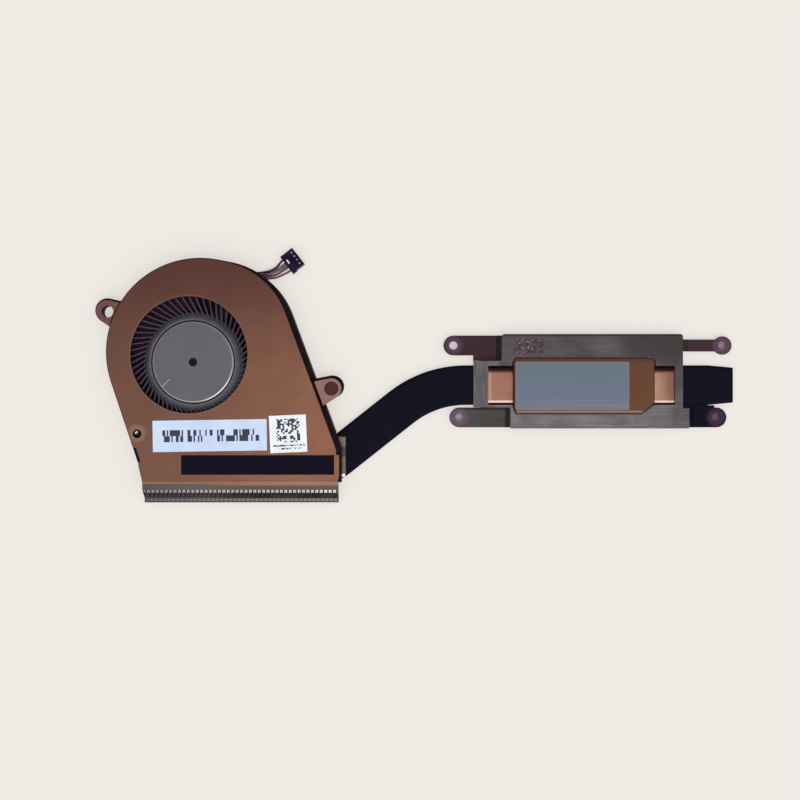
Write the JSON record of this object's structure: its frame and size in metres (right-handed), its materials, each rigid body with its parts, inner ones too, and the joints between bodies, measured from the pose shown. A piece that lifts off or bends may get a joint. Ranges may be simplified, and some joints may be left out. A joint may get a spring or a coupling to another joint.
{
  "type": "laptop cooling fan heatsink",
  "caption": "Thin scroll blower with a fin stack at its outlet and a flat S-bent heat pipe to a cold plate held in a stamped screw bracket, with a short plug lead.",
  "frame": {"origin": "on the rotor axis, at the underside of the base plate", "axes": "+X from the fan along the heat pipe's straight end to the cold plate, +Y away from the fin stack, +Z to the side of the cold plate's contact face"},
  "size_m": [0.1829, 0.0731, 0.0058],
  "materials": {
    "cover_copper": "satin brown copper sheet",
    "frame_plastic": "fine matt moulding",
    "base_steel": "dull rolled sheet",
    "blade_plastic": "smooth dark moulding",
    "cup_steel": "satin drawn sheet",
    "magnet": "bonded magnet",
    "screw_steel": "black oxide",
    "shaft_steel": "ground",
    "bearing_brass": "turned",
    "pad_plastic": "smooth",
    "core_steel": "stacked sheet, coated",
    "winding_copper": "enamelled wire",
    "board": "solder mask",
    "chip": "moulded",
    "fin_aluminium": "bare sheet",
    "pipe_coated": "black coat, bare copper under the bracket",
    "bracket_steel": "dull stamped sheet",
    "cold_plate_copper": "satin bare copper",
    "thermal_pad": "soft matt pad",
    "label_paper": "matt label",
    "code_paper": "matt label",
    "strip_foam": "matt black strip",
    "plug_plastic": "moulded",
    "contact_brass": "plated",
    "wire_black": "smooth insulation",
    "wire_lilac": "smooth insulation",
    "wire_grey": "smooth insulation",
    "wire_pale": "smooth insulation"
  },
  "bodies": {
    "heatsink": {"fan_cover": "cover_copper", "fan_frame": "frame_plastic", "base_plate": "base_steel", "corner_screw": "screw_steel", "bearing_housing": "bearing_brass", "sleeve_bearing": "bearing_brass", "thrust_pad": "pad_plastic", "stator_core": "core_steel", "stator_windings": "winding_copper", "motor_board": "board", "driver_chip": "chip", "fin_stack": "fin_aluminium", "heat_pipe": "pipe_coated", "bracket": "bracket_steel", "cold_plate": "cold_plate_copper", "thermal_pad": "thermal_pad", "long_label": "label_paper", "square_label": "code_paper", "sealing_strip": "strip_foam", "plug_housing": "plug_plastic", "plug_contacts": "contact_brass", "lead_wire_1": "wire_lilac", "lead_wire_2": "wire_grey", "lead_wire_3": "wire_pale", "lead_wire_4": "wire_black"},
    "rotor": {"impeller": "blade_plastic", "rotor_cup": "cup_steel", "magnet_ring": "magnet", "rotor_shaft": "shaft_steel"}
  },
  "joints": [
    {"name": "rotor_spin", "type": "hinge", "parent": "heatsink", "child": "rotor", "pos_m": [0, 0, 0], "axis": [0, 0, 1], "continuous": true}
  ]
}
